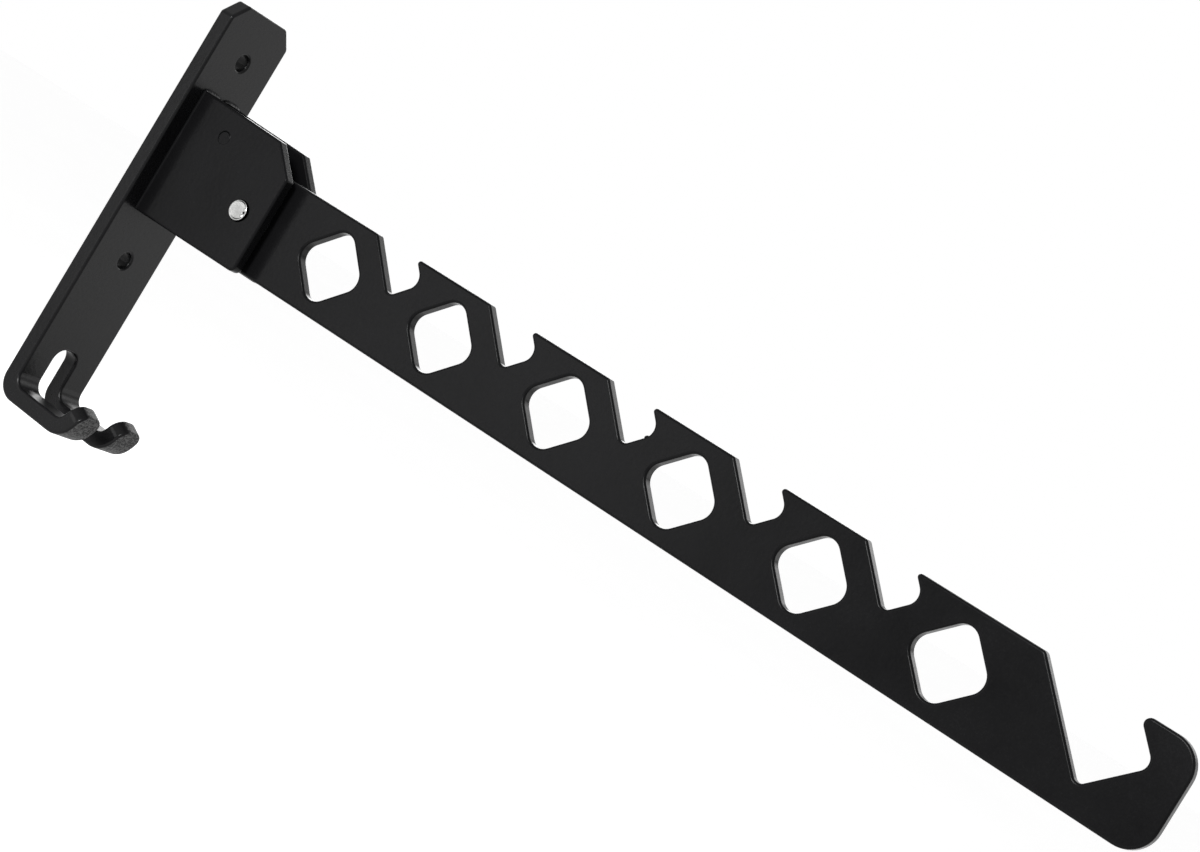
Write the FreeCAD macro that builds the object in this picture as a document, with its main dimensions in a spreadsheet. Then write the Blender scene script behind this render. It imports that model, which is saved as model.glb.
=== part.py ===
"""Folding wall clothing rack: a forked wall plate, two welded ears and a notched swing arm on a rivet.

The origin is on the back of the wall plate, half way between its two screw holes.
X runs along the rivet, -Y points away from the wall and +Z is up. Lengths are in millimetres.
The ears and the arm are drawn about the rivet's own centre and then placed there.
"""
import FreeCAD, Part
import Sketcher
import os

doc = FreeCAD.newDocument("folding_clothing_rack")
sheet = doc.addObject("Spreadsheet::Sheet", "sizes")


# Driving dimensions. Heights are measured from the rivet's centre, and reaches from the wall.
WALL_PLATE_SIZES = {
    "plate_width": 30,
    "plate_thickness": 5,
    "plate_rise": 50.9,
    "plate_corner_cut": 5,
    "plate_corner_radius": 1.5,
    "plate_edge_radius": 0.8,
    "screw_spacing": 66.4,
    "screw_hole_diameter": 5,
    "screw_middle_rise": 2.6,
}
# The fork is the plate's foot: the strip is bent outwards, slit, and its end is turned up.
FORK_SIZES = {
    "fork_drop": 80.6,
    "fork_floor_slope": 2,
    "fork_floor_reach": 28.2,
    "fork_tip_length": 10.8,
    "fork_tip_angle": 66,
    "fork_heel_hollow_radius": 4,
    "fork_heel_outside_radius": 6.6,
    "fork_toe_hollow_radius": 3,
    "fork_toe_outside_radius": 8,
    "fork_slot_width": 10,
    "fork_slot_rise": 19.1,
    "fork_slot_corner_radius": 4,
    "fork_prong_corner_radius": 4,
}
EAR_SIZES = {
    "rivet_standoff": 31.7,
    "ear_gap": 9,
    "ear_thickness": 4,
    "ear_over_arm": 8.8,
    "ear_top_fall": 1,
    "ear_under_arm": 0.7,
    "ear_front_reach": 8.7,
    "ear_cut_reach": 9,
    "ear_cut_drop": 9.4,
    "ear_corner_radius": 2,
    "ear_cut_corner_radius": 1,
    "ear_edge_radius": 0.75,
}
WELD_SIZES = {
    "weld_leg": 2.5,
    "weld_cap_rise": 1,
    "weld_cap_reach": 2,
}
RIVET_SIZES = {
    "rivet_diameter": 5,
    "rivet_head_lip": 0.5,
    "rivet_flare_depth": 0.8,
    "rivet_head_rise": 0.9,
    "rivet_head_edge": 0.4,
    "rivet_seat_clearance": 0.02,
    "rivet_running_clearance": 0.06,
}
STOP_PIN_SIZES = {
    "stop_diameter": 4,
    "stop_upright_gap": 0.5,
    "stop_end_edge": 0.3,
    "stop_seat_clearance": 0.02,
}
SPACER_SIZES = {
    "spacer_diameter": 14,
    "spacer_side_clearance": 0.05,
    "spacer_edge": 0.4,
}
ARM_SIZES = {
    "arm_height": 30,
    "arm_thickness": 4,
    "arm_reach": 308.1,
    "arm_edge_radius": 0.75,
    "tail_past_stop": 4.5,
    "tail_heel_radius": 6,
    "tail_corner_radius": 1.5,
    "tail_seat_lead": 2.5,
    "tail_seat_drop": 2.1,
    "tail_seat_gap": 0.3,
}
ARM_CUT_SIZES = {
    "notch_pitch": 42.5,
    "notch_start": 39.3,
    "notch_floor_run": 7.4,
    "notch_beak_drop": 5.6,
    "notch_shoulder_radius": 1,
    "notch_root_radius": 2,
    "notch_cradle_radius": 3.5,
    "notch_tip_radius": 0.85,
    "window_lead": 8.2,
    "window_wall": 2.6,
    "window_corner_radius": 4.5,
}
END_HOOK_SIZES = {
    "hook_floor_wall": 7,
    "hook_end_wall": 9.2,
    "hook_beak_drop": 9.8,
    "hook_shoulder_radius": 1.5,
    "hook_root_radius": 2,
    "hook_cradle_radius": 3,
    "hook_tip_radius": 1.7,
    "hook_nose_radius": 8,
    "hook_chin_radius": 8,
}
# Making allowances: how far a cut runs past its piece, and how near an edge counts as the one meant.
MAKING_SIZES = {
    "cut_overrun": 4,
    "pick_reach": 0.02,
}


def fill_sheet(groups):
    """Writes every value into the sheet, one row each, with its name as the cell's alias."""
    row = 0
    for group in groups:
        for name, size in group.items():
            row += 1
            sheet.set(f"A{row}", name)
            sheet.set(f"B{row}", str(size))
            sheet.setAlias(f"B{row}", name)
    doc.recompute()


fill_sheet([
    WALL_PLATE_SIZES, FORK_SIZES, EAR_SIZES, WELD_SIZES, RIVET_SIZES, STOP_PIN_SIZES,
    SPACER_SIZES, ARM_SIZES, ARM_CUT_SIZES, END_HOOK_SIZES, MAKING_SIZES,
])


def value(text):
    """The number that an expression of the sheet's names gives."""
    return float(sheet.evalExpression(text))


def new_body(name, place=("0", "0", "0")):
    """An empty body of its own, placed by one expression for each axis."""
    body = doc.addObject("PartDesign::Body", name)
    body.Label = name
    for axis, text in zip("xyz", place):
        body.setExpression(f"Placement.Base.{axis}", text)
    return body


def new_sketch(body, name, role, lift=None):
    """A sketch on one of the body's own planes, lifted off it where an expression says so."""
    sketch = body.newObject("Sketcher::SketchObject", name)
    plane = next(item for item in body.Origin.OriginFeatures if item.Role == role)
    sketch.AttachmentSupport = [(plane, "")]
    sketch.MapMode = "FlatFace"
    if lift:
        sketch.setExpression("AttachmentOffset.Base.z", lift)
    return sketch


def draw_outline(sketch, corners):
    """A closed outline of straight lines, each corner held by an expression across and one up."""
    points = [FreeCAD.Vector(value(across), value(up), 0) for across, up in corners]
    following = points[1:] + points[:1]
    for start, end in zip(points, following):
        sketch.addGeometry(Part.LineSegment(start, end))
    for line in range(len(points)):
        sketch.addConstraint(Sketcher.Constraint("Coincident", line, 2, (line + 1) % len(points), 1))
    for line, (across, up) in enumerate(corners):
        for kind, text, size in (("DistanceX", across, points[line].x), ("DistanceY", up, points[line].y)):
            held = sketch.addConstraint(Sketcher.Constraint(kind, -1, 1, line, 1, size))
            sketch.setExpression(f"Constraints[{held}]", text)


def draw_circle(sketch, across, up, diameter):
    """A circle whose centre and diameter are held by expressions."""
    centre = FreeCAD.Vector(value(across), value(up), 0)
    ring = sketch.addGeometry(Part.Circle(centre, FreeCAD.Vector(0, 0, 1), value(diameter) / 2))
    for kind, text, size in (("DistanceX", across, centre.x), ("DistanceY", up, centre.y)):
        held = sketch.addConstraint(Sketcher.Constraint(kind, -1, 1, ring, 3, size))
        sketch.setExpression(f"Constraints[{held}]", text)
    held = sketch.addConstraint(Sketcher.Constraint("Diameter", ring, value(diameter)))
    sketch.setExpression(f"Constraints[{held}]", diameter)


def add_pad(body, name, sketch, length, side="Symmetric", back=False):
    """A pad of a bound length, both ways from its sketch unless it says otherwise."""
    pad = body.newObject("PartDesign::Pad", name)
    pad.Profile = sketch
    pad.SideType = side
    pad.Reversed = back
    pad.setExpression("Length", length)
    doc.recompute()
    return pad


def add_pocket(body, name, sketch):
    """A cut right through, both ways from its sketch; it has to take something away."""
    before = body.Tip.Shape.Volume
    pocket = body.newObject("PartDesign::Pocket", name)
    pocket.Profile = sketch
    pocket.Type = "ThroughAll"
    pocket.SideType = "Symmetric"
    doc.recompute()
    if pocket.Shape.Volume >= before:
        raise RuntimeError(f"{name} cuts nothing")
    return pocket


def add_row(body, name, original, role, pitch, count):
    """Repeats a cut outwards along one of the body's own axes."""
    before = body.Tip.Shape.Volume
    row = body.newObject("PartDesign::LinearPattern", name)
    row.Originals = [original]
    axis = next(item for item in body.Origin.OriginFeatures if item.Role == role)
    row.Direction = (axis, [""])
    row.Reversed = True
    row.Mode = "Spacing"
    row.setExpression("Offset", pitch)
    row.setExpression("Occurrences", count)
    body.Tip = row
    doc.recompute()
    if row.Shape.Volume >= before:
        raise RuntimeError(f"{name} repeats nothing")
    return row


def straight_edges(shape, direction, corners):
    """Names of the straight edges that run along a direction through one of the corner points."""
    reach = value("sizes.pick_reach")
    found = []
    for number, edge in enumerate(shape.Edges, 1):
        if not isinstance(edge.Curve, Part.Line):
            continue
        if not edge.Curve.Direction.cross(direction).Length < reach:
            continue
        start = edge.Vertexes[0].Point
        for corner in corners:
            offset = start - corner
            if (offset - direction * offset.dot(direction)).Length < reach:
                found.append(f"Edge{number}")
    if not found:
        raise RuntimeError("no edge lies at the corners given")
    return found


def rim_edges(shape, keep):
    """Names of the edges whose bounding box passes the test given."""
    return [f"Edge{number}" for number, edge in enumerate(shape.Edges, 1) if keep(edge.BoundBox)]


def round_edges(body, name, edges, radius):
    """Rounds the named edges of the body's last feature."""
    last = body.Tip
    fillet = body.newObject("PartDesign::Fillet", name)
    fillet.Base = (last, edges)
    fillet.setExpression("Radius", radius)
    doc.recompute()
    return fillet


def chamfer_edges(body, name, edges, size):
    """Cuts the named edges of the body's last feature at 45 degrees."""
    last = body.Tip
    chamfer = body.newObject("PartDesign::Chamfer", name)
    chamfer.Base = (last, edges)
    chamfer.setExpression("Size", size)
    doc.recompute()
    return chamfer


def normal_of(face, point):
    """The face's normal at a point that lies on it."""
    return face.normalAt(*face.Surface.parameter(point))


def border_edges(shape, starts):
    """Names of the edges round the surfaces that run on smoothly from the faces through the start points."""
    reach = value("sizes.pick_reach")
    faces = [face for face in shape.Faces if any(
        face.distToShape(Part.Vertex(start))[0] < reach for start in starts
    )]
    pending = list(faces)
    border = []
    while pending:
        face = pending.pop()
        for edge in face.Edges:
            middle = edge.valueAt((edge.FirstParameter + edge.LastParameter) / 2)
            for other in shape.ancestorsOfType(edge, Part.Face):
                if other.isSame(face):
                    continue
                if normal_of(face, middle).cross(normal_of(other, middle)).Length > SMOOTH_TURN:
                    border.append(edge)
                elif not any(other.isSame(known) for known in faces):
                    faces.append(other)
                    pending.append(other)
    return [f"Edge{number}" for number, edge in enumerate(shape.Edges, 1) if any(
        edge.isSame(known) for known in border
    )]


ALONG_X = FreeCAD.Vector(1, 0, 0)
ALONG_Y = FreeCAD.Vector(0, 1, 0)
# The most of a width that one of its two rounded corners may take.
CORNER_SHARE = 0.45
# The most of an outside corner's radius that the rounding of its rims may take.
RIM_SHARE = 0.95
# Two faces count as one surface where the sine of the angle between them is below this.
SMOOTH_TURN = 0.01

# Where the rivet's centre lies in the part's own frame.
RIVET_Y = "-(sizes.plate_thickness + sizes.rivet_standoff)"
RIVET_Z = "-sizes.screw_middle_rise"
AT_RIVET = ("0", RIVET_Y, RIVET_Z)

# The arm's edges, and the ears' ends past them, measured up from the rivet.
ARM_TOP = "sizes.arm_height / 2"
ARM_FOOT = "-sizes.arm_height / 2"
EAR_TOP = f"{ARM_TOP} + sizes.ear_over_arm"
EAR_FOOT = f"{ARM_FOOT} - sizes.ear_under_arm"
# An ear's top falls a little from the plate to its cut corner.
EAR_TOP_RUN = "(sizes.rivet_standoff + sizes.ear_front_reach - sizes.ear_cut_reach)"
# The stop pin lies just over the tail's seat, and just behind the arm's top edge when the arm stands up.
TAIL_SEAT = f"{ARM_TOP} - sizes.tail_seat_drop"
STOP_BACK = "sizes.arm_height / 2 + sizes.stop_diameter / 2 + sizes.stop_upright_gap"
STOP_RISE = f"{TAIL_SEAT} + sizes.tail_seat_gap + sizes.stop_diameter / 2"


def in_side_view(across, up):
    """A point of the side view, in the body's own frame."""
    return FreeCAD.Vector(0, value(across), value(up))


def make_wall_plate():
    """One strip of steel seen from the side, bent out at the foot and turned up at its end."""
    body = new_body("wall_plate", ("0", "0", RIVET_Z))
    slope = "tan(sizes.fork_floor_slope)"
    bend = "sizes.fork_floor_reach"
    floor_back = ("0", "-sizes.fork_drop")
    floor_end = (f"-{bend}", f"-sizes.fork_drop - {bend} * {slope}")
    tip_low = (
        f"{floor_end[0]} - sizes.fork_tip_length * cos(sizes.fork_tip_angle)",
        f"{floor_end[1]} + sizes.fork_tip_length * sin(sizes.fork_tip_angle)",
    )
    tip_high = (
        f"{tip_low[0]} + sizes.plate_thickness * sin(sizes.fork_tip_angle)",
        f"{tip_low[1]} + sizes.plate_thickness * cos(sizes.fork_tip_angle)",
    )
    # The floor's top lies one thickness above its underside, measured square to the slope.
    top_lift = "sizes.plate_thickness / cos(sizes.fork_floor_slope)"
    turn = "(sizes.fork_tip_angle + sizes.fork_floor_slope) / 2"
    inner_reach = f"{bend} - sizes.plate_thickness * tan({turn}) * cos(sizes.fork_floor_slope)"
    inner_reach = f"({inner_reach} - sizes.plate_thickness * sin(sizes.fork_floor_slope))"
    hollow_end = (f"-{inner_reach}", f"-sizes.fork_drop - {inner_reach} * {slope} + {top_lift}")
    hollow_back = (
        "-sizes.plate_thickness",
        f"-sizes.fork_drop - sizes.plate_thickness * {slope} + {top_lift}",
    )
    sketch = new_sketch(body, "plate_side_view", "YZ_Plane")
    draw_outline(sketch, [
        ("0", "sizes.plate_rise"),
        floor_back,
        floor_end,
        tip_low,
        tip_high,
        hollow_end,
        hollow_back,
        ("-sizes.plate_thickness", "sizes.plate_rise"),
    ])
    add_pad(body, "plate_strip", sketch, "sizes.plate_width")

    bends = (("heel", hollow_back, floor_back), ("toe", hollow_end, floor_end))
    for bend_name, hollow, outside in bends:
        for face_name, corner in (("hollow", hollow), ("outside", outside)):
            edges = straight_edges(body.Tip.Shape, ALONG_X, [in_side_view(*corner)])
            name = f"{bend_name}_{face_name}"
            round_edges(body, name, edges, f"sizes.fork_{name}_radius")

    # The slit runs from its closed top down through the bend, the floor and the upturned end.
    half_slot = "sizes.fork_slot_width / 2"
    slot_top = "sizes.fork_slot_rise - sizes.fork_drop"
    slot_foot = "-sizes.fork_drop - sizes.fork_floor_reach - sizes.cut_overrun"
    slot = new_sketch(body, "slot_front_view", "XZ_Plane")
    draw_outline(slot, [
        (f"-{half_slot}", slot_foot), (half_slot, slot_foot), (half_slot, slot_top), (f"-{half_slot}", slot_top),
    ])
    add_pocket(body, "fork_slot", slot)
    corners = [
        FreeCAD.Vector(side * value(half_slot), 0, value(slot_top)) for side in (-1, 1)
    ]
    edges = straight_edges(body.Tip.Shape, ALONG_Y, corners)
    round_edges(body, "slot_top_corners", edges, "sizes.fork_slot_corner_radius")

    # Two plain screw holes, one above the ears and one below them.
    holes = new_sketch(body, "screw_holes_front_view", "XZ_Plane")
    for side in ("+", "-"):
        rise = f"sizes.screw_middle_rise {side} sizes.screw_spacing / 2"
        draw_circle(holes, "0", rise, "sizes.screw_hole_diameter")
    add_pocket(body, "screw_holes", holes)

    half_width = value("sizes.plate_width / 2")
    top = value("sizes.plate_rise")
    corners = [FreeCAD.Vector(side * half_width, 0, top) for side in (-1, 1)]
    edges = straight_edges(body.Tip.Shape, ALONG_Y, corners)
    chamfer_edges(body, "top_corners", edges, "sizes.plate_corner_cut")
    cut = value("sizes.plate_corner_cut")
    corners = []
    for side in (-1, 1):
        corners.append(FreeCAD.Vector(side * half_width, 0, top - cut))
        corners.append(FreeCAD.Vector(side * (half_width - cut), 0, top))
    edges = straight_edges(body.Tip.Shape, ALONG_Y, corners)
    round_edges(body, "top_corner_rounds", edges, "sizes.plate_corner_radius")

    # Each prong's end is rounded in the plane of the strip.
    along_tip = in_side_view(*tip_high) - in_side_view(*tip_low)
    along_tip.normalize()
    corners = []
    for side in (-1, 1):
        for reach in (half_slot, "sizes.plate_width / 2"):
            corners.append(in_side_view(*tip_low) + ALONG_X * side * value(reach))
    edges = straight_edges(body.Tip.Shape, along_tip, corners)
    prong_width = "sizes.plate_width - sizes.fork_slot_width"
    straight = f"sizes.fork_tip_length - sizes.fork_toe_outside_radius * tan({turn})"
    limits = f"{CORNER_SHARE} * ({prong_width}) / 2; 2 * {CORNER_SHARE} * ({straight})"
    round_edges(body, "prong_corners", edges, f"min(sizes.fork_prong_corner_radius; {limits})")

    # The rims of the front and of the back are eased all the way round.
    back_face = FreeCAD.Vector(half_width / 2, 0, 0)
    front_face = back_face - ALONG_Y * value("sizes.plate_thickness")
    rim = border_edges(body.Tip.Shape, [back_face, front_face])
    round_edges(body, "plate_rim", rim, "sizes.plate_edge_radius")
    return body


def make_ear(name, side):
    """A flat ear whose back edge stands on the wall plate; side is -1 for the left and +1 for the right."""
    body = new_body(name, AT_RIVET)
    lift = f"{side} * sizes.ear_gap / 2"
    front = "-sizes.ear_front_reach"
    outline = [
        ("sizes.rivet_standoff", EAR_FOOT),
        ("sizes.rivet_standoff", EAR_TOP),
        (f"{front} + sizes.ear_cut_reach", f"{EAR_TOP} - sizes.ear_top_fall"),
        (front, f"{EAR_TOP} - sizes.ear_cut_drop"),
        (front, EAR_FOOT),
    ]
    sketch = new_sketch(body, f"{name}_side_view", "YZ_Plane", lift)
    draw_outline(sketch, outline)
    add_pad(body, f"{name}_plate", sketch, "sizes.ear_thickness", "One side", side < 0)

    bores = new_sketch(body, f"{name}_bores_side_view", "YZ_Plane")
    draw_circle(bores, "0", "0", "sizes.rivet_diameter + 2 * sizes.rivet_seat_clearance")
    draw_circle(bores, STOP_BACK, STOP_RISE, "sizes.stop_diameter + 2 * sizes.stop_seat_clearance")
    add_pocket(body, f"{name}_bores", bores)

    edges = straight_edges(body.Tip.Shape, ALONG_X, [in_side_view(*outline[-1])])
    round_edges(body, f"{name}_front_corner", edges, "sizes.ear_corner_radius")
    edges = straight_edges(body.Tip.Shape, ALONG_X, [in_side_view(*corner) for corner in outline[2:4]])
    round_edges(body, f"{name}_cut_corners", edges, "sizes.ear_cut_corner_radius")

    # The mouth of the rivet's bore is opened to the flare of the rivet's head.
    outer = side * value("sizes.ear_gap / 2 + sizes.ear_thickness")
    reach = value("sizes.pick_reach")
    bore = value("sizes.rivet_diameter / 2 + sizes.rivet_seat_clearance")
    mouth = rim_edges(body.Tip.Shape, lambda box: (
        abs(box.XMin - outer) < reach and abs(box.XMax - outer) < reach and abs(box.ZMax - bore) < reach
    ))
    chamfer_edges(body, f"{name}_bore_mouth", mouth, "sizes.rivet_flare_depth")

    # The rim of both broad faces is eased, except along the welded back edge and around the bores.
    back = value("sizes.rivet_standoff")
    widest = value("sizes.stop_diameter + sizes.rivet_diameter")
    faces = (outer, side * value("sizes.ear_gap / 2"))
    rim = rim_edges(body.Tip.Shape, lambda box: (
        any(abs(box.XMin - face) < reach and abs(box.XMax - face) < reach for face in faces)
        and box.YMin < back - reach
        and not is_bore(box, widest)
    ))
    round_edges(body, f"{name}_rim", rim, "sizes.ear_edge_radius")
    return body


def is_bore(box, widest):
    """Whether an edge's box is a whole circle no wider than the size given."""
    return abs(box.YLength - box.ZLength) < value("sizes.pick_reach") and box.YLength < widest


def make_weld(name, side):
    """The bead that holds an ear: a fillet along its inner root and a short cap over its top end."""
    body = new_body(name, AT_RIVET)
    inner = f"{side} * sizes.ear_gap / 2"
    root = new_sketch(body, f"{name}_plan", "XY_Plane", EAR_FOOT)
    draw_outline(root, [
        (inner, "sizes.rivet_standoff"),
        (f"{side} * (sizes.ear_gap / 2 - sizes.weld_leg)", "sizes.rivet_standoff"),
        (inner, "sizes.rivet_standoff - sizes.weld_leg"),
    ])
    add_pad(body, f"{name}_root", root, f"{EAR_TOP} - ({EAR_FOOT}) + sizes.weld_cap_rise", "One side")
    cap_fall = f"sizes.ear_top_fall * sizes.weld_cap_reach / {EAR_TOP_RUN}"
    cap = new_sketch(body, f"{name}_side_view", "YZ_Plane", f"{side} * (sizes.ear_gap / 2 - sizes.weld_leg)")
    draw_outline(cap, [
        ("sizes.rivet_standoff", EAR_TOP),
        ("sizes.rivet_standoff", f"{EAR_TOP} + sizes.weld_cap_rise"),
        ("sizes.rivet_standoff - sizes.weld_cap_reach", f"{EAR_TOP} - {cap_fall}"),
    ])
    add_pad(body, f"{name}_cap", cap, "sizes.weld_leg + sizes.ear_thickness", "One side", side < 0)
    return body


def make_pivot_rivet():
    """A round rivet, flared into both ears, with a low bright head proud of each outer face."""
    body = new_body("pivot_rivet", AT_RIVET)
    half = "sizes.ear_gap / 2 + sizes.ear_thickness"
    shank = "sizes.rivet_diameter / 2"
    flare = f"{shank} + sizes.rivet_head_lip"
    profile = new_sketch(body, "rivet_profile", "XZ_Plane")
    right_side = [
        (f"{half} - sizes.rivet_flare_depth - sizes.rivet_seat_clearance", shank),
        (half, flare),
        (f"{half} + sizes.rivet_head_rise - sizes.rivet_head_edge", flare),
        (f"{half} + sizes.rivet_head_rise", f"{flare} - sizes.rivet_head_edge"),
        (f"{half} + sizes.rivet_head_rise", "0"),
    ]
    left_side = [(f"-({across})", up) for across, up in reversed(right_side)]
    draw_outline(profile, right_side + left_side)
    turned = body.newObject("PartDesign::Revolution", "rivet_turned")
    turned.Profile = profile
    turned.ReferenceAxis = (profile, ["H_Axis"])
    turned.Angle = 360
    doc.recompute()
    return body


def make_stop_pin():
    """The plain pin above the arm's tail that carries the load, flush with both ears."""
    body = new_body("stop_pin", AT_RIVET)
    sketch = new_sketch(body, "stop_pin_side_view", "YZ_Plane")
    draw_circle(sketch, STOP_BACK, STOP_RISE, "sizes.stop_diameter")
    pad = add_pad(body, "stop_pin_rod", sketch, "sizes.ear_gap + 2 * sizes.ear_thickness")
    reach = value("sizes.pick_reach")
    ends = rim_edges(pad.Shape, lambda box: box.XLength < reach)
    chamfer_edges(body, "stop_pin_ends", ends, "sizes.stop_end_edge")
    return body


def make_spacer(name, side):
    """The washer that keeps the arm centred between the ears."""
    body = new_body(name, AT_RIVET)
    lift = f"{side} * (sizes.arm_thickness / 2 + sizes.spacer_side_clearance)"
    sketch = new_sketch(body, f"{name}_side_view", "YZ_Plane", lift)
    draw_circle(sketch, "0", "0", "sizes.spacer_diameter")
    draw_circle(sketch, "0", "0", "sizes.rivet_diameter + 2 * sizes.rivet_running_clearance")
    length = "(sizes.ear_gap - sizes.arm_thickness) / 2 - 2 * sizes.spacer_side_clearance"
    pad = add_pad(body, f"{name}_ring", sketch, length, "One side", side < 0)
    reach = value("sizes.pick_reach")
    radius = value("sizes.spacer_diameter / 2")
    rims = rim_edges(pad.Shape, lambda box: box.XLength < reach and abs(box.ZMax - radius) < reach)
    chamfer_edges(body, f"{name}_edges", rims, "sizes.spacer_edge")
    return body


def make_swing_arm():
    """A flat bar with an end hook, five hanger notches and six square windows set on their corners."""
    body = new_body("swing_arm", AT_RIVET)
    top = ARM_TOP
    foot = ARM_FOOT

    # The tail's top is cut away so that it comes up under the stop pin when the arm is level.
    tail_end = f"{STOP_BACK} + sizes.tail_past_stop"
    seat_end = f"{STOP_BACK} - sizes.tail_seat_lead"
    tail = [
        (tail_end, foot),
        (tail_end, TAIL_SEAT),
        (seat_end, TAIL_SEAT),
        (f"{seat_end} - sizes.tail_seat_drop", top),
    ]
    # The end hook: down and out at 45 degrees, up and out along its floor, then back to a point.
    hook_depth = "(sizes.arm_height - sizes.hook_floor_wall)"
    hook_run = f"({hook_depth} - sizes.hook_beak_drop)"
    hook_cradle = "sizes.arm_reach - sizes.hook_end_wall"
    hook_root = f"{hook_cradle} - {hook_run}"
    hook_start = f"{hook_root} - {hook_depth}"
    hook = [
        (f"-({hook_start})", top),
        (f"-({hook_root})", f"{top} - {hook_depth}"),
        (f"-({hook_cradle})", f"{top} - sizes.hook_beak_drop"),
        (f"-({hook_cradle} - sizes.hook_beak_drop)", top),
        ("-sizes.arm_reach", top),
        ("-sizes.arm_reach", foot),
    ]
    sketch = new_sketch(body, "arm_side_view", "YZ_Plane")
    draw_outline(sketch, tail + hook)
    add_pad(body, "arm_bar", sketch, "sizes.arm_thickness")

    # One hanger notch, run past the top edge, and then its row.
    notch_depth = "(sizes.notch_floor_run + sizes.notch_beak_drop)"
    notch_root = f"sizes.notch_start + {notch_depth}"
    notch_cradle = f"{notch_root} + sizes.notch_floor_run"
    notch_tip = f"{notch_cradle} - sizes.notch_beak_drop"
    notch = [
        ("-sizes.notch_start", top),
        (f"-({notch_root})", f"{top} - {notch_depth}"),
        (f"-({notch_cradle})", f"{top} - sizes.notch_beak_drop"),
        (f"-({notch_tip})", top),
    ]
    above = f"{top} + sizes.cut_overrun"
    mouth = [
        (f"-({notch_tip}) + sizes.cut_overrun", above),
        ("-sizes.notch_start + sizes.cut_overrun", above),
    ]
    sketch = new_sketch(body, "notch_side_view", "YZ_Plane")
    draw_outline(sketch, notch + mouth)
    cut = add_pocket(body, "first_notch", sketch)
    # As many notches as fit before the end hook, and a window before each of them and after the last.
    notch_count = f"floor(({hook_start} - sizes.notch_start) / sizes.notch_pitch)"
    window_count = f"{notch_count} + 1"
    add_row(body, "notch_row", cut, "Y_Axis", "sizes.notch_pitch", notch_count)

    half = f"({top} - sizes.window_wall)"
    middle = "(sizes.notch_start - sizes.window_lead)"
    window = [
        (f"{half} - {middle}", "0"), (f"-{middle}", half), (f"-{middle} - {half}", "0"), (f"-{middle}", f"-{half}"),
    ]
    sketch = new_sketch(body, "window_side_view", "YZ_Plane")
    draw_outline(sketch, window)
    cut = add_pocket(body, "first_window", sketch)
    add_row(body, "window_row", cut, "Y_Axis", "sizes.notch_pitch", window_count)

    bore = new_sketch(body, "arm_bore_side_view", "YZ_Plane")
    draw_circle(bore, "0", "0", "sizes.rivet_diameter + 2 * sizes.rivet_running_clearance")
    add_pocket(body, "arm_bore", bore)

    def repeated(corner, count):
        """The same corner in every copy of a row."""
        step = FreeCAD.Vector(0, -value("sizes.notch_pitch"), 0)
        return [in_side_view(*corner) + step * copy for copy in range(int(value(count)))]

    rounds = [
        ("notch_shoulders", repeated(notch[0], notch_count), "sizes.notch_shoulder_radius"),
        ("notch_roots", repeated(notch[1], notch_count), "sizes.notch_root_radius"),
        ("notch_cradles", repeated(notch[2], notch_count), "sizes.notch_cradle_radius"),
        ("notch_tips", repeated(notch[3], notch_count), "sizes.notch_tip_radius"),
        ("hook_shoulder", [in_side_view(*hook[0])], "sizes.hook_shoulder_radius"),
        ("hook_root", [in_side_view(*hook[1])], "sizes.hook_root_radius"),
        ("hook_cradle", [in_side_view(*hook[2])], "sizes.hook_cradle_radius"),
        ("hook_tip", [in_side_view(*hook[3])], "sizes.hook_tip_radius"),
        ("hook_nose", [in_side_view(*hook[4])], "sizes.hook_nose_radius"),
        ("hook_chin", [in_side_view(*hook[5])], "sizes.hook_chin_radius"),
        ("tail_heel", [in_side_view(*tail[0])], "sizes.tail_heel_radius"),
        ("tail_corners", [in_side_view(*corner) for corner in tail[1:]], "sizes.tail_corner_radius"),
    ]
    window_corners = [point for corner in window for point in repeated(corner, window_count)]
    rounds.append(("window_corners", window_corners, "sizes.window_corner_radius"))
    for name, corners, radius in rounds:
        edges = straight_edges(body.Tip.Shape, ALONG_X, corners)
        round_edges(body, name, edges, radius)

    # Both broad faces have eased rims, apart from the rivet's bore.
    reach = value("sizes.pick_reach")
    widest = value("2 * sizes.rivet_diameter")
    rim = rim_edges(body.Tip.Shape, lambda box: box.XLength < reach and not is_bore(box, widest))
    round_edges(body, "arm_rim", rim, f"min(sizes.arm_edge_radius; {RIM_SHARE} * sizes.notch_tip_radius)")
    return body


pieces = [make_wall_plate()]
for side_name, side in (("left", -1), ("right", 1)):
    pieces.append(make_ear(f"{side_name}_ear", side))
    pieces.append(make_weld(f"{side_name}_weld", side))
    pieces.append(make_spacer(f"{side_name}_spacer", side))
pieces.append(make_pivot_rivet())
pieces.append(make_stop_pin())
pieces.append(make_swing_arm())
doc.recompute()

for item in doc.Objects:
    if "Invalid" in item.State or "Error" in item.State:
        raise RuntimeError(f"{item.Name} failed: {item.State}")
for piece in pieces:
    if piece.Shape.isNull() or not piece.Shape.isValid() or len(piece.Shape.Solids) != 1:
        raise RuntimeError(f"{piece.Label} is not one valid solid")

os.makedirs("parts", exist_ok=True)
for piece in pieces:
    piece.Shape.exportStep(os.path.join("parts", f"{piece.Label}.step"))
    print(f"{piece.Label}: {piece.Shape.Volume:.0f} mm3")
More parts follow.
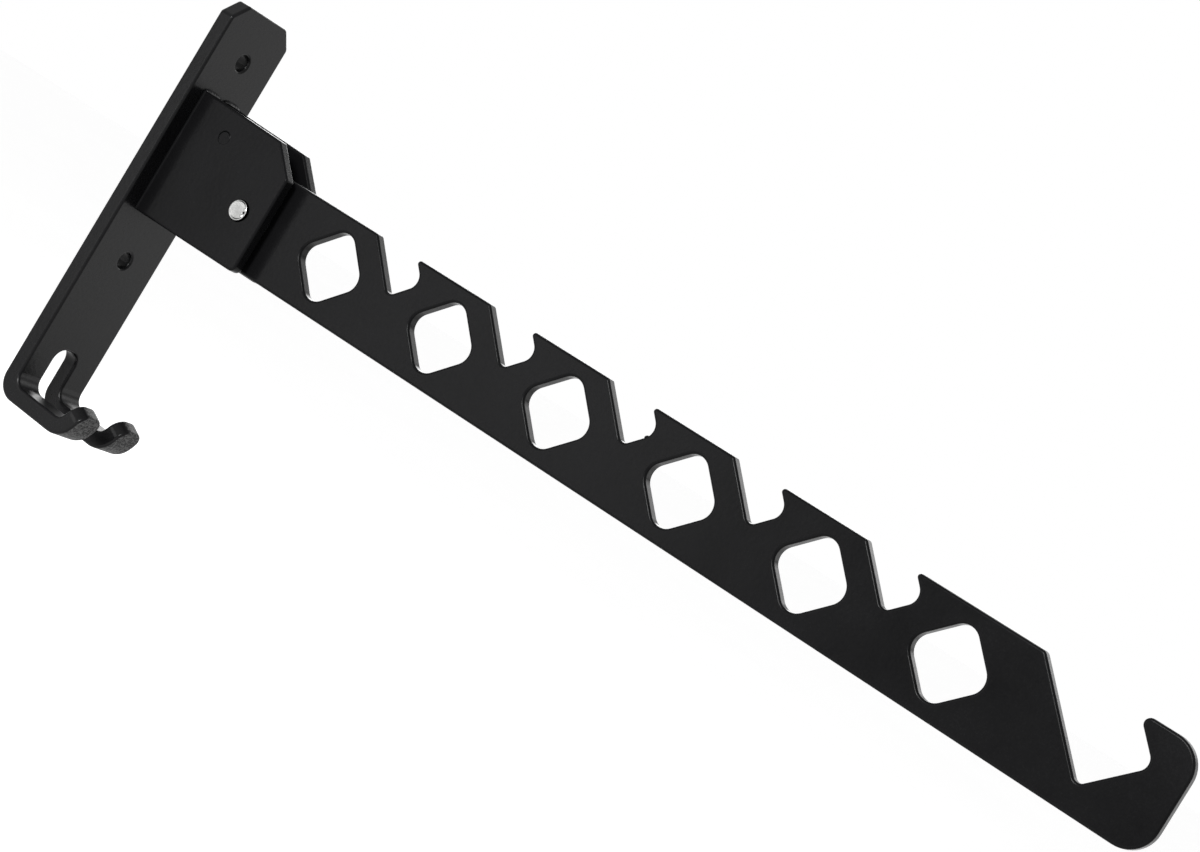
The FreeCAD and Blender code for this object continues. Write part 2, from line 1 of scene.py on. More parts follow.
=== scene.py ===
"""A folding wall clothing rack in black powder coat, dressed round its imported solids.

X runs along the rivet, -Y points away from the wall and +Z is up. Lengths are in metres.
"""
import bmesh
import bpy
import numpy as np
from mathutils import Matrix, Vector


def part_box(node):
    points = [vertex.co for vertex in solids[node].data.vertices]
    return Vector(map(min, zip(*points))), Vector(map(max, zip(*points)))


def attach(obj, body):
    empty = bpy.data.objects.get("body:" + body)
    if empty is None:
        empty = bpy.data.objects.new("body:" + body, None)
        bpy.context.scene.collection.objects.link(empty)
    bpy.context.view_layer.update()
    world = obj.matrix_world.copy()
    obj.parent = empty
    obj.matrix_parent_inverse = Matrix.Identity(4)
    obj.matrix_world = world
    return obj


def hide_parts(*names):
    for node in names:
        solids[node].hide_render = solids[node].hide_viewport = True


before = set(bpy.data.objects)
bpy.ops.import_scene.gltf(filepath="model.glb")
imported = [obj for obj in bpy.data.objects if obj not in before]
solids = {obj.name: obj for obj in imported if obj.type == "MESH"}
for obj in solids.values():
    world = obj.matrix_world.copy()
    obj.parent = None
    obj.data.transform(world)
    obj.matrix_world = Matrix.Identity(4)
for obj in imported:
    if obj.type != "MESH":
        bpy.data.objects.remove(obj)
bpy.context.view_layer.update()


# --- Wall plate -------------------------------------------------------------------------------
# A 30 x 5 mm steel strip, bent out at its foot into a slit, upturned fork. The whole rack is sprayed
# with one black powder and baked, so every steel piece has this section's coat.
mm = 0.001
coat_black = (0.0026, 0.0026, 0.0028, 1)
coat_dusty_black = (0.004, 0.004, 0.0043, 1)
coat_rough = (0.22, 0.26)
coat_relief = 0.035 * mm
# How many lumps of each noise there are to a metre of the coat.
patch_scale, peel_scale, grain_scale, speck_scale = 38.0, 820.0, 1800.0, 340.0
drag_scale_along, drag_scale_across = 60.0, 2300.0
# How high each stands, where the orange peel is 1.
grain_lift, drag_lift, speck_lift = 0.22, 0.5, 0.9
# Past this reach the fork's outer faces are dulled and take a painted sheen, and its hollow lies below
# this height.
fork_reach = -20 * mm
fork_hollow = -70 * mm
# Painted sheen: a lighter, speckled grey on the fork tips' outward faces, standing in for the light
# they catch.
painted_sheen_dark = (0.022, 0.022, 0.022, 1)
painted_sheen_light = (0.085, 0.085, 0.085, 1)
tip_grain_lift = 2.0
hollow_dullness = 0.62
dull_gloss = 0.02
dull_roughness = 0.2


def place(tree, kind, inputs=None, **settings):
    """Adds a node of a kind, sets its settings, and fills or links its inputs by name."""
    node = tree.nodes.new(kind)
    for name, setting in settings.items():
        setattr(node, name, setting)
    for name, source in (inputs or {}).items():
        if isinstance(source, bpy.types.NodeSocket):
            tree.links.new(source, node.inputs[name])
        else:
            node.inputs[name].default_value = source
    return node


def spread(tree, source, low, high, start=0.3, end=0.7):
    """Carries a value that runs from start to end over to the range from low to high."""
    inputs = {"Value": source, "From Min": start, "From Max": end, "To Min": low, "To Max": high}
    return place(tree, "ShaderNodeMapRange", inputs).outputs["Result"]


def worked(tree, operation, *values, **settings):
    """A value worked out from others. MULTIPLY_ADD is the first times the second, plus the third."""
    node = place(tree, "ShaderNodeMath", dict(enumerate(values)), operation=operation, **settings)
    return node.outputs["Value"]


def blended(tree, share, first, second):
    """A colour that goes from the first to the second as the share goes from 0 to 1."""
    inputs = {"Factor": share, "A": first, "B": second}
    return place(tree, "ShaderNodeMix", inputs, data_type="RGBA").outputs["Result"]


def lumps(tree, at, scale, detail, roughness=0.5):
    """Smooth noise between 0 and 1, with a number of lumps to the metre."""
    inputs = {"Vector": at, "Scale": scale, "Detail": detail, "Roughness": roughness}
    return place(tree, "ShaderNodeTexNoise", inputs).outputs["Fac"]


def relief(tree, shader, height, strength, depth):
    """Lets a height stand out from the surface by a depth, in the shading alone."""
    inputs = {"Height": height, "Strength": strength, "Distance": depth}
    tree.links.new(place(tree, "ShaderNodeBump", inputs).outputs["Normal"], shader.inputs["Normal"])


def new_finish(name):
    """A new material, with its tree of nodes and its shader."""
    material = bpy.data.materials.new(name)
    material.use_nodes = True
    tree = material.node_tree
    return material, tree, tree.nodes["Principled BSDF"]


def fork_sheen_and_hollow(tree, at, faces, sheen_beyond):
    """Two masks, for the fork's outer faces that take a painted sheen and for the dull hollow behind
    them.

    The painted-sheen faces lie past the reach and look away from the wall, not along the rivet, so
    their mask is a product of three. The hollow is low down and looks up.
    """
    spot = place(tree, "ShaderNodeSeparateXYZ", {"Vector": at.outputs["Object"]})
    beyond = spread(tree, spot.outputs["Y"], 0.0, 1.0, sheen_beyond + mm, sheen_beyond - mm)
    outwards = spread(tree, faces.outputs["Y"], 0.0, 1.0, -0.15, -0.35)
    sideways = worked(tree, "ABSOLUTE", faces.outputs["X"])
    lengthways = spread(tree, sideways, 1.0, 0.0, 0.25, 0.45)
    painted_sheen = worked(tree, "MULTIPLY", worked(tree, "MULTIPLY", beyond, outwards), lengthways)
    upwards = spread(tree, faces.outputs["Z"], 0.0, 1.0, 0.5, 0.85)
    low_down = spread(tree, spot.outputs["Z"], 0.0, 1.0, fork_hollow + 2 * mm, fork_hollow - 2 * mm)
    return painted_sheen, worked(tree, "MULTIPLY", upwards, low_down)


def powder_coat(name, cut_axis, gloss, seed, sheen_beyond=None):
    """Baked powder: orange peel a millimetre wide, a finer grain, and the drag lines of the cut walls.

    The drag lines are noise stretched along the sheet's thickness axis. They show only on walls that
    face away from that axis, so their weight is 1 less the size of the normal's part along it. Past
    the given reach, the fork's outer faces are dulled and take a painted sheen, a lighter, speckled
    grey that stands in for the light they catch, and the low faces that look up stay dull.
    """
    material, tree, shader = new_finish(name)
    shader.inputs["Metallic"].default_value = 0
    shader.inputs["IOR"].default_value = 1.5
    shader.inputs["Specular IOR Level"].default_value = gloss
    at = place(tree, "ShaderNodeTexCoord")
    moved = {"Vector": at.outputs["Object"], "Location": (seed, seed * 2, seed * 3)}
    here = place(tree, "ShaderNodeMapping", moved).outputs["Vector"]

    patches = lumps(tree, here, patch_scale, 3.0, 0.6)
    peel = lumps(tree, here, peel_scale, 1.0, 0.4)
    grain = lumps(tree, here, grain_scale, 1.0)
    stretch = tuple(drag_scale_along if axis == cut_axis else drag_scale_across for axis in "XYZ")
    drag_at = place(tree, "ShaderNodeMapping", {"Vector": here, "Scale": stretch})
    drag = lumps(tree, drag_at.outputs["Vector"], 1.0, 2.0)

    faces = place(tree, "ShaderNodeSeparateXYZ", {"Vector": at.outputs["Normal"]})
    facing = worked(tree, "ABSOLUTE", faces.outputs[cut_axis])
    drag_on_walls = worked(tree, "MULTIPLY", drag, spread(tree, facing, 1.0, 0.0, 0.15, 0.6))

    # Dust that was baked in stands up as rare specks of a third of a millimetre.
    cells = place(tree, "ShaderNodeTexVoronoi", {"Vector": here, "Scale": speck_scale})
    draw = place(tree, "ShaderNodeSeparateColor", {"Color": cells.outputs["Color"]})
    chosen = spread(tree, draw.outputs["Red"], 0.0, 1.0, 0.955, 0.965)
    dome = spread(tree, cells.outputs["Distance"], 1.0, 0.0, 0.0, 0.13)
    specks = worked(tree, "MULTIPLY", chosen, dome)

    tone = blended(tree, spread(tree, patches, 0.0, 1.0), coat_black, coat_dusty_black)
    rough_patch = spread(tree, patches, *coat_rough)
    rough = worked(tree, "ADD", rough_patch, spread(tree, grain, -0.03, 0.04))
    grain_height = grain_lift
    if sheen_beyond:
        painted_sheen, hollow = fork_sheen_and_hollow(tree, at, faces, sheen_beyond)
        dull = worked(tree, "MULTIPLY_ADD", hollow, hollow_dullness, painted_sheen, use_clamp=True)
        # Painted sheen: the fork tips' outward faces are coloured a lighter, speckled grey in place of
        # the light they catch.
        sheen_speckle = blended(tree, spread(tree, grain, 0.0, 1.0, 0.4, 0.62), painted_sheen_dark, painted_sheen_light)
        tone = blended(tree, painted_sheen, tone, sheen_speckle)
        rough = worked(tree, "MULTIPLY_ADD", dull, dull_roughness, rough)
        gloss_there = spread(tree, dull, gloss, dull_gloss, 0.0, 1.0)
        tree.links.new(gloss_there, shader.inputs["Specular IOR Level"])
        grain_height = spread(tree, painted_sheen, grain_lift, tip_grain_lift, 0.0, 1.0)
    tree.links.new(tone, shader.inputs["Base Color"])
    tree.links.new(rough, shader.inputs["Roughness"])
    fine = worked(tree, "MULTIPLY_ADD", grain, grain_height, peel)
    lined = worked(tree, "MULTIPLY_ADD", drag_on_walls, drag_lift, fine)
    height = worked(tree, "MULTIPLY_ADD", specks, speck_lift, lined)
    relief(tree, shader, height, 0.55, coat_relief)
    return material


def coat_solid(node, material):
    """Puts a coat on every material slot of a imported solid."""
    for slot in solids[node].material_slots:
        slot.material = material


coat_solid("wall_plate", powder_coat("plate_powder_coat", "Y", 0.095, 0.0, sheen_beyond=fork_reach))


# --- Ears -------------------------------------------------------------------------------------
# Two cut plates of 4 mm, stood on edge 9 mm apart. Where the coat pools in the corner along each
# ear's outer root it dries as a thin hollow fillet.
ear_powder_coat = powder_coat("ear_powder_coat", "X", 0.046, 0.31)
coat_solid("left_ear", ear_powder_coat)
coat_solid("right_ear", ear_powder_coat)

plate_thickness = 5 * mm
plate_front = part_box("wall_plate")[1].y - plate_thickness
pool_size = 0.55 * mm
pool_waver = 0.07 * mm
pool_sunk = 0.15 * mm
pool_short_of_foot = 0.3 * mm
pool_short_of_top = 0.2 * mm


def skin(name, rows, ring=False):
    """A closed skin: every row of points is a loop, and each loop is joined to the next.

    The first and last loops close on their own middles, or on each other where ring is true.
    """
    loops, around = rows.shape[:2]
    row, step = np.meshgrid(np.arange(loops if ring else loops - 1), np.arange(around), indexing="ij")
    near, beside = row * around, (row + 1) % loops * around
    after = (step + 1) % around
    quads = np.stack([near + step, near + after, beside + after, beside + step], -1)
    faces = quads.reshape(-1, 4).tolist()
    points = rows.reshape(-1, 3)
    if not ring:
        points = np.concatenate([points, rows[:1].mean(1), rows[-1:].mean(1)])
        first, following = np.arange(around), (np.arange(around) + 1) % around
        last = (loops - 1) * around
        middle = np.full(around, loops * around)
        faces += np.stack([middle, following, first], -1).tolist()
        faces += np.stack([middle + 1, last + first, last + following], -1).tolist()
    mesh = bpy.data.meshes.new(name)
    mesh.from_pydata(points.tolist(), [], faces)
    shape = bmesh.new()
    shape.from_mesh(mesh)
    bmesh.ops.remove_doubles(shape, verts=shape.verts, dist=1e-8)
    bmesh.ops.recalc_face_normals(shape, faces=shape.faces)
    shape.to_mesh(mesh)
    shape.free()
    mesh.shade_smooth()
    mesh.set_sharp_from_angle(angle=np.radians(38))
    piece = bpy.data.objects.new(name, mesh)
    bpy.context.scene.collection.objects.link(piece)
    return piece


def pooled_coat(name, node, side):
    """A hollow fillet in the corner of an ear's outer face and the plate.

    Across, it is a quarter circle that bulges into the corner; up the ear its size wavers by two sines.
    """
    low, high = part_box(node)
    outer = high.x if side > 0 else low.x
    up = np.linspace(low.z + pool_short_of_foot, high.z - pool_short_of_top, 160)[:, None]
    size = pool_size + pool_waver * (np.sin(up / (2.1 * mm)) + np.sin(up / (0.83 * mm) + 1.7)) / 2
    turn = np.linspace(0, np.pi / 2, 9)[None, :]
    out = 1 - np.sin(turn)
    away = 1 - np.cos(turn)
    across = np.concatenate([outer + side * size * out, np.full_like(up, outer - side * pool_sunk)], 1)
    front = np.concatenate([plate_front - size * away, np.full_like(up, plate_front + pool_sunk)], 1)
    return skin(name, np.stack([across, front, np.broadcast_to(up, across.shape)], -1))


for name, node, side in (("left_root_coat", "left_ear", -1), ("right_root_coat", "right_ear", 1)):
    pool = pooled_coat(name, node, side)
    pool.data.materials.append(ear_powder_coat)
    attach(pool, "wall_bracket")


# --- Welds ------------------------------------------------------------------------------------
# A hand-laid bead runs down the inner root of each ear, and another lies over its top end. Each dab
# of the torch leaves a ripple, and the coat rounds the ripples off.
bead_pitch = 1.15 * mm
bead_bulge = 0.16
bead_lift = 0.05
root_leg = 2.5 * mm
root_bulge = 2.0 * mm
root_taper = 1.6 * mm
cap_reach = 2.0 * mm
cap_reach_waver = 0.1 * mm
cap_bulge = 1.2 * mm
sunk_in_plate = 0.1 * mm
sunk_in_ear = 0.2 * mm
# A bead's end stays this little bit blunt: the size there is the square root of 0.001.
blunt = 1.001
weld_powder_coat = powder_coat("weld_powder_coat", "Z", 0.3, 0.57)


def rippled(along, across):
    """The bulge of a bead: a crown across it, and dabs along it that bow back at both of its edges."""
    crown = np.sin(np.pi * across)
    bow = 1.1 * (across - 0.5) ** 2
    dab = np.cos(2 * np.pi * (along / bead_pitch + bow) + np.sin(along / (1.9 * mm)))
    return crown * (bead_bulge + bead_lift * dab)


def weld_bead(name, node, side):
    """The root bead and the cap as two closed skins in one piece.

    Across, a bead goes straight from one leg's end to the other's, pushed out by the ripple's bulge.
    The root draws in to its corner at its top, and the cap at both its ends, as a round end does: by
    the square root of 1 less a power of the share of the way to the end.
    """
    low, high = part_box(node)
    inner = high.x if side < 0 else low.x
    corner = inner + side * root_leg
    back, front = high.y, low.y
    cap_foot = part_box("left_ear")[1].z

    share = np.linspace(0, 1, 13)[None, :]
    up = np.linspace(low.z, cap_foot, 260)[:, None]
    bulge = rippled(up, share)
    ending = np.clip((up - cap_foot) / root_taper + 1, 0, 1)
    drawn = np.sqrt(blunt - ending ** 2)
    x = corner - side * drawn * (root_leg * share + root_bulge * bulge * (1 - share))
    y = back - drawn * ((back - front) * (1 - share) + root_bulge * bulge * share)
    x = np.concatenate([x, np.full_like(up, corner + side * sunk_in_ear)], 1)
    y = np.concatenate([y, np.full_like(up, back + sunk_in_plate)], 1)
    root = skin(name, np.stack([x, y, np.broadcast_to(up, x.shape)], -1))

    run = np.linspace(inner, high.x if side > 0 else low.x, 90)[:, None]
    bulge = rippled(run, share)
    reach = cap_reach + cap_reach_waver * np.sin(run / (0.9 * mm))
    from_middle = np.linspace(-1, 1, 90)[:, None]
    drawn = np.sqrt(blunt - np.abs(from_middle) ** 5)
    y = back - drawn * (reach * share + cap_bulge * bulge * (1 - share))
    z = cap_foot + drawn * ((high.z - cap_foot) * (1 - share) + cap_bulge * bulge * share)
    y = np.concatenate([y, np.full_like(run, back + sunk_in_plate)], 1)
    z = np.concatenate([np.minimum(z, high.z), np.full_like(run, cap_foot - sunk_in_ear)], 1)
    cap = skin(f"{name}_cap", np.stack([np.broadcast_to(run, y.shape), y, z], -1))
    joined = bmesh.new()
    joined.from_mesh(root.data)
    joined.from_mesh(cap.data)
    joined.to_mesh(root.data)
    joined.free()
    bpy.data.objects.remove(cap)
    return root


for node, side in (("left_weld", -1), ("right_weld", 1)):
    bead = weld_bead(f"{node}_bead", node, side)
    bead.data.materials.append(weld_powder_coat)
    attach(bead, "wall_bracket")
    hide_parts(node)


# --- Stop pin ---------------------------------------------------------------------------------
# A 4 mm pin pressed through both ears above the arm's tail. Its ends stand hardly proud of the ears.
# The coat has filled the seam round them, but for its upper back part.
ear_face = 8.5
pin_face = 8.62
pin_face_radius = 1.94
pin_edge = [(pin_face, 1.6), (pin_face, 1.95), (8.49, 2.14), (8.42, 1.99), (0.0, 1.99)]
pin_edge_rounding = (0.01, 0.04, 0.03)
seam_radius = 1.82
seam_width = 0.09
seam_depth = 0.4 * mm


def eased(corners, reach, steps=7):
    """A profile whose inner corners are rounded: (1-t)^2 before + 2t(1-t) corner + t^2 after."""
    corners = np.array(corners, float)
    reach = np.broadcast_to(reach, len(corners) - 2)[:, None]
    middle = corners[1:-1]
    back, on = corners[:-2] - middle, corners[2:] - middle
    before = middle + back / np.linalg.norm(back, axis=1, keepdims=True) * reach
    after = middle + on / np.linalg.norm(on, axis=1, keepdims=True) * reach
    t = np.linspace(0, 1, steps)[None, :, None]
    bends = (1 - t) ** 2 * before[:, None] + 2 * t * (1 - t) * middle[:, None] + t ** 2 * after[:, None]
    return np.concatenate([corners[:1], bends.reshape(-1, 2), corners[-1:]])


def two_ended(face, face_radius, rings, edge, rounding):
    """The profile of a headed shank, as x and radius in metres, from face to face.

    A half is the flat face in rings, then its rounded edge down to the shank's middle. The other half
    is the same with x turned round.
    """
    flat = np.column_stack([np.full(rings, face), np.linspace(0.02, face_radius, rings)])
    half = np.concatenate([flat, eased(edge, rounding)[1:]]) * mm
    return np.concatenate([half, half[-2::-1] * (-1, 1)])


def turned(profile, centre_y, centre_z, steps=96):
    """Loops round an axis along X: y and z go round a circle of the profile's radius at each x."""
    angle = np.linspace(0, 2 * np.pi, steps, endpoint=False)
    along, radius = profile[:, :1], profile[:, 1:]
    x = np.broadcast_to(along, (len(profile), steps))
    return np.stack([x, centre_y + radius * np.cos(angle), centre_z + radius * np.sin(angle)], -1)


low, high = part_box("stop_pin")
pin_y, pin_z = (low.y + high.y) / 2, (low.z + high.z) / 2
pin_profile = two_ended(pin_face, pin_face_radius, 40, pin_edge, pin_edge_rounding)
pin_rows = turned(pin_profile, pin_y, pin_z)
# The seam is a bell curve across, and round the pin it fades by a cosine.
across, up = pin_rows[..., 1] - pin_y, pin_rows[..., 2] - pin_z
seam_open = np.clip(0.35 + 0.8 * np.cos(np.arctan2(-across, up) + 0.64), 0, 1)
seam = np.exp(-((np.hypot(across, up) / mm - seam_radius) / seam_width) ** 2)
seam *= np.abs(pin_rows[..., 0]) > ear_face * mm
pin_rows[..., 0] -= np.sign(pin_rows[..., 0]) * seam_depth * seam * seam_open
pin_powder_coat = powder_coat("pin_powder_coat", "Y", 0.046, 0.83)
pin = skin("coated_stop_pin", pin_rows)
pin.data.materials.append(pin_powder_coat)
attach(pin, "wall_bracket")
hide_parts("stop_pin")


# --- Spacers ----------------------------------------------------------------------------------
# Two moulded black nylon washers that keep the arm in the middle of the gap. They slip over the
# rivet's shank and turn freely.
nylon_black = (0.012, 0.012, 0.013, 1)
nylon_grey = (0.02, 0.02, 0.021, 1)
spacer_bore = 2.56 * mm
bore_rounding, rim_rounding = 0.25 * mm, 0.55 * mm

nylon, tree, shader = new_finish("moulded_nylon")
shader.inputs["Specular IOR Level"].default_value = 0.25
at = place(tree, "ShaderNodeTexCoord")
cloudy = lumps(tree, at.outputs["Object"], 260.0, 3.0)
spark = lumps(tree, at.outputs["Object"], 3800.0, 1.0)
tone = blended(tree, spread(tree, cloudy, 0.0, 1.0), nylon_black, nylon_grey)
tree.links.new(tone, shader.inputs["Base Color"])
tree.links.new(spread(tree, cloudy, 0.5, 0.62), shader.inputs["Roughness"])
relief(tree, shader, spark, 0.4, 0.02 * mm)

for node, name in (("left_spacer", "left_nylon_spacer"), ("right_spacer", "right_nylon_spacer")):
    low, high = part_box(node)
    rim, near, far = (high.z - low.z) / 2, low.x, high.x
    middle = (near + far) / 2
    around = eased([
        (middle, spacer_bore), (near, spacer_bore), (near, rim), (far, rim), (far, spacer_bore),
        (middle, spacer_bore),
    ], (bore_rounding, rim_rounding, rim_rounding, bore_rounding))[:-1]
    spacer = skin(name, turned(around, (low.y + high.y) / 2, (low.z + high.z) / 2), ring=True)
    spacer.data.materials.append(nylon)
    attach(spacer, "wall_bracket")
    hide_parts(node)


# --- Swing arm --------------------------------------------------------------------------------
# A 30 x 4 mm bar, cut in one go with its notches, windows and end hook, then coated. One drop of
# coat dried on the floor of the third notch.
arm_powder_coat = powder_coat("arm_powder_coat", "X", 0.047, 1.27)
coat_solid("swing_arm", arm_powder_coat)

drop_middle = (-1.25 * mm, -179.1 * mm, 4.6 * mm)
drop_half = (0.5 * mm, 0.7 * mm, 0.42 * mm)
drop_lean = np.radians(-45)
# A flattened ball, leaned over so that it lies on the notch's sloping floor. Its rows stop just short
# of the poles.
turn = np.linspace(0, 2 * np.pi, 40, endpoint=False)[None, :]
rise = np.linspace(-0.5 * np.pi + 0.02, 0.5 * np.pi - 0.02, 20)[:, None]
flat_x = drop_half[0] * np.cos(rise) * np.cos(turn)
flat_y = drop_half[1] * np.cos(rise) * np.sin(turn)
flat_z = drop_half[2] * np.sin(rise) * np.ones_like(turn)
drop_points = np.stack([
    drop_middle[0] + flat_x,
    drop_middle[1] + flat_y * np.cos(drop_lean) - flat_z * np.sin(drop_lean),
    drop_middle[2] + flat_y * np.sin(drop_lean) + flat_z * np.cos(drop_lean),
], -1)
drop = skin("dried_coat_drop", drop_points)
drop.data.materials.append(arm_powder_coat)
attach(drop, "swing_arm")


# --- Pivot rivet ------------------------------------------------------------------------------
# A bare 5 mm steel rivet, set last and dressed flat, so it stays bright. The setting left parts of a
# groove, two burrs and a pit on each head. Painted shade blackens the groove, the pit and the head's
# sides, and a painted highlight brightens the burrs and the rim.
steel_light = (0.235, 0.235, 0.232, 1)
steel_dull = (0.19, 0.19, 0.187, 1)
# Painted shade black for the head's sides, groove and pit, and a painted highlight colour for its burrs
# and rim.
painted_shade_black = (0.004, 0.004, 0.004, 1)
painted_highlight_steel = (0.85, 0.85, 0.84, 1)
low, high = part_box("pivot_rivet")
rivet_y, rivet_z = (low.y + high.y) / 2, (low.z + high.z) / 2
rivet_face = high.x / mm - 0.1
face_radius = 2.82
rivet_edge = [
    (rivet_face, face_radius), (rivet_face - 0.03, 2.97), (rivet_face - 0.5, 3.0),
    (8.44, 2.9), (7.66, 2.5), (0.0, 2.5),
]
rivet_edge_rounding = (0.04, 0.06, 0.05, 0.05)
groove_radius, groove_offset, groove_width, groove_depth = 2.57, 0.11, 0.075, 0.25
rim_width, rim_lift = 0.1, 0.035
burr_lift = 0.13
pit_depth = 0.35

rivet_steel, tree, shader = new_finish("dressed_rivet_steel")
shader.inputs["Metallic"].default_value = 1
at = place(tree, "ShaderNodeTexCoord")
smears = lumps(tree, at.outputs["Object"], 420.0, 4.0, 0.65)
rub_lines = {"Vector": at.outputs["Object"], "Rotation": (0.5, 0, 0), "Scale": (1.0, 900.0, 7000.0)}
rub = lumps(tree, place(tree, "ShaderNodeMapping", rub_lines).outputs["Vector"], 1.0, 3.0)
tone = blended(tree, spread(tree, smears, 0.0, 1.0, 0.35, 0.75), steel_light, steel_dull)
faces = place(tree, "ShaderNodeSeparateXYZ", {"Vector": at.outputs["Normal"]})
facing = worked(tree, "ABSOLUTE", faces.outputs["X"])
# Painted shade: where the steel does not face along the rivet, on the head's rounded edge and sides, it
# is coloured black.
sides_in_painted_shade = blended(tree, spread(tree, facing, 0.0, 1.0, 0.35, 0.6), painted_shade_black, tone)
# The marks are heights in mm: below 0, in the cut groove and pit, painted shade darkens the steel;
# above it, a painted highlight brightens it.
marked = place(tree, "ShaderNodeAttribute", attribute_name="set_marks").outputs["Fac"]
cuts_in_painted_shade = blended(tree, spread(tree, marked, 0.0, 1.0, 0.0, -0.12), sides_in_painted_shade, painted_shade_black)
with_painted_highlights = blended(tree, spread(tree, marked, 0.0, 1.0, 0.02, 0.1), cuts_in_painted_shade, painted_highlight_steel)
tree.links.new(with_painted_highlights, shader.inputs["Base Color"])
rough_smear = spread(tree, smears, 0.24, 0.36)
rough = worked(tree, "ADD", rough_smear, spread(tree, rub, -0.04, 0.06))
tree.links.new(rough, shader.inputs["Roughness"])
relief(tree, shader, rub, 0.25, 0.01 * mm)


def set_marks(across, up):
    """How far a head's face stands out or in, in mm, at a place on it in mm.

    The groove is a bell curve across, at a radius that shifts by a cosine of the turn. Round the head
    it shows on two arcs, each of which fades as exp(k (cos(turn from its middle) - 1)). The rim stands
    up a little, and the burrs and the pit are bells too.
    """
    turn = np.arctan2(-across, up)
    radius = np.hypot(across, up)
    arcs = np.exp(7.4 * (np.cos(turn - 0.17) - 1)) + 0.7 * np.exp(8 * (np.cos(turn - 2.8) - 1))
    groove = np.exp(-((radius - groove_radius - groove_offset * np.cos(turn)) / groove_width) ** 2)
    rim = np.exp(-((radius - face_radius) / rim_width) ** 2)

    def bell(middle_across, middle_up, width):
        return np.exp(-((across - middle_across) ** 2 + (up - middle_up) ** 2) / width ** 2)

    burrs = bell(-2.3, 1.2, 0.3) + bell(-2.15, -0.85, 0.32)
    pit = bell(-2.14, 0.16, 0.24)
    return burr_lift * burrs + rim_lift * rim - pit_depth * pit - groove_depth * arcs * groove


rivet_profile = two_ended(rivet_face, face_radius, 64, rivet_edge, rivet_edge_rounding)
rivet_rows = turned(rivet_profile, rivet_y, rivet_z, 180)
marks = set_marks((rivet_rows[..., 1] - rivet_y) / mm, (rivet_rows[..., 2] - rivet_z) / mm) * mm
on_face = np.clip((np.abs(rivet_rows[..., 0]) / mm - rivet_face + 0.2) / 0.15, 0, 1)
rivet_rows[..., 0] += np.sign(rivet_rows[..., 0]) * marks * on_face
rivet = skin("dressed_pivot_rivet", rivet_rows)
# The same marks, kept on the mesh, tell the steel where to take a painted highlight and where painted
# shade.
points = np.empty(len(rivet.data.vertices) * 3)
rivet.data.vertices.foreach_get("co", points)
points = points.reshape(-1, 3) / mm
on_head = np.abs(points[:, 0]) > 8.7
marks = set_marks(points[:, 1] - rivet_y / mm, points[:, 2] - rivet_z / mm) * on_head
rivet.data.attributes.new("set_marks", "FLOAT", "POINT").data.foreach_set("value", marks)
rivet.data.materials.append(rivet_steel)
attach(rivet, "wall_bracket")
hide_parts("pivot_rivet")


# --- Floor, light and camera ------------------------------------------------------------------
# A wide pale floor under the rack, a white room round it, and soft lamps on both sides.
floor_drop = 0.34
floor_half = 7.0
floor_grey = (0.84, 0.84, 0.84, 1)
floor_pale = (0.87, 0.87, 0.87, 1)
floor_glow = 0.45
room_white = (1, 1, 1, 1)
room_level = 0.6

mesh = bpy.data.meshes.new("pale_floor")
corners = np.array([(-1, -1, 0), (1, -1, 0), (1, 1, 0), (-1, 1, 0)]) * (floor_half, floor_half, 1)
mesh.from_pydata((corners - (0, 0, floor_drop)).tolist(), [], [(0, 1, 2, 3)])
floor = bpy.data.objects.new("pale_floor", mesh)
bpy.context.scene.collection.objects.link(floor)


def background_share(tree):
    """1 for the rays that show a background: straight from the camera, off gloss, or through glass."""
    rays = place(tree, "ShaderNodeLightPath").outputs
    seen = worked(tree, "ADD", rays["Is Camera Ray"], rays["Is Glossy Ray"])
    return worked(tree, "ADD", seen, rays["Is Transmission Ray"], use_clamp=True)


floor_paint, tree, shader = new_finish("pale_floor_paint")
shader.inputs["Roughness"].default_value = 0.9
shader.inputs["Specular IOR Level"].default_value = 0.1
at = place(tree, "ShaderNodeTexCoord")
cloudy = lumps(tree, at.outputs["Object"], 3.0, 2.0)
tree.links.new(blended(tree, cloudy, floor_grey, floor_pale), shader.inputs["Base Color"])
shader.inputs["Emission Color"].default_value = room_white
glow = worked(tree, "MULTIPLY", background_share(tree), floor_glow)
tree.links.new(glow, shader.inputs["Emission Strength"])
floor.data.materials.append(floor_paint)

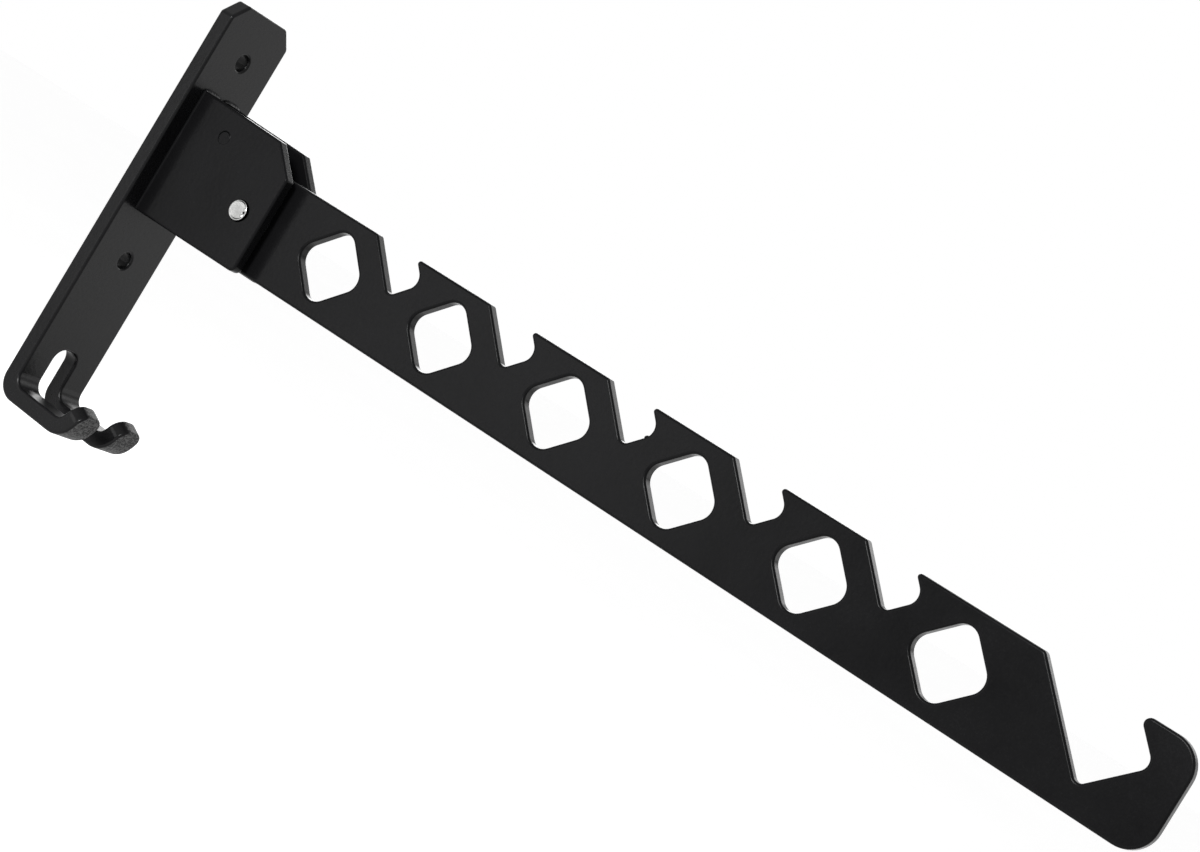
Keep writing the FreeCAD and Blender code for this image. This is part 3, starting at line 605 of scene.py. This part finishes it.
world = bpy.data.worlds.new("white_room")
bpy.context.scene.world = world
world.use_nodes = True
tree = world.node_tree
level = spread(tree, background_share(tree), room_level, 1.0, 0.0, 1.0)
tree.links.new(level, tree.nodes["Background"].inputs["Strength"])
tree.nodes["Background"].inputs["Color"].default_value = room_white


def stand(name, data, right, up, away, at):
    """Puts a lamp or camera at a place, with its X to the right, its Y up and its back turned away."""
    thing = bpy.data.objects.new(name, data)
    turned_and_placed = np.vstack([np.column_stack([right, up, away, at]), (0, 0, 0, 1)])
    thing.matrix_world = Matrix(turned_and_placed.tolist())
    bpy.context.scene.collection.objects.link(thing)
    return thing


def soft_lamp(name, at, towards, size, power):
    """A square lamp at a place, turned so that its -Z faces a point."""
    data = bpy.data.lights.new(name, "AREA")
    data.size = size
    data.energy = power
    away = np.subtract(at, towards) / np.linalg.norm(np.subtract(at, towards))
    side = np.cross((0, 0, 1), away)
    side /= np.linalg.norm(side)
    stand(name, data, side, np.cross(away, side), away, at)


soft_lamp("window_behind_left", (-1.72, 0.87, 0.02), (0, -0.12, 0), 0.65, 5.6)
soft_lamp("window_left", (-1.4, -0.2, 0.55), (0, -0.1, 0), 0.4, 31)
soft_lamp("high_right", (1.65, -0.35, 0.85), (0, -0.15, 0), 0.7, 4)
soft_lamp("room_right", (1.6, -1.15, 0.1), (0, -0.1, 0), 0.8, 3.0)
soft_lamp("window_behind_right", (1.6, 0.85, 0.75), (0, -0.05, 0), 1.0, 15)

bpy.context.scene.view_settings.view_transform = "Standard"
view_turn, view_lift, view_roll = np.radians([-62.6763, 2.3672, 31.2745])
camera_at = np.array([-624.3, -487.67, 29.52]) * mm
away = np.array([
    np.sin(view_turn) * np.cos(view_lift), -np.cos(view_turn) * np.cos(view_lift), np.sin(view_lift),
])
level_right = np.cross((0, 0, 1), away)
level_right /= np.linalg.norm(level_right)
level_up = np.cross(away, level_right)
right = np.cos(view_roll) * level_right + np.sin(view_roll) * level_up
up = np.cos(view_roll) * level_up - np.sin(view_roll) * level_right
camera_data = bpy.data.cameras.new("photo_view")
camera_data.sensor_width = 36
camera_data.lens = 80.63
camera_data.clip_start = 0.01
camera_data.clip_end = 60
bpy.context.scene.camera = stand("photo_view", camera_data, right, up, away, camera_at)
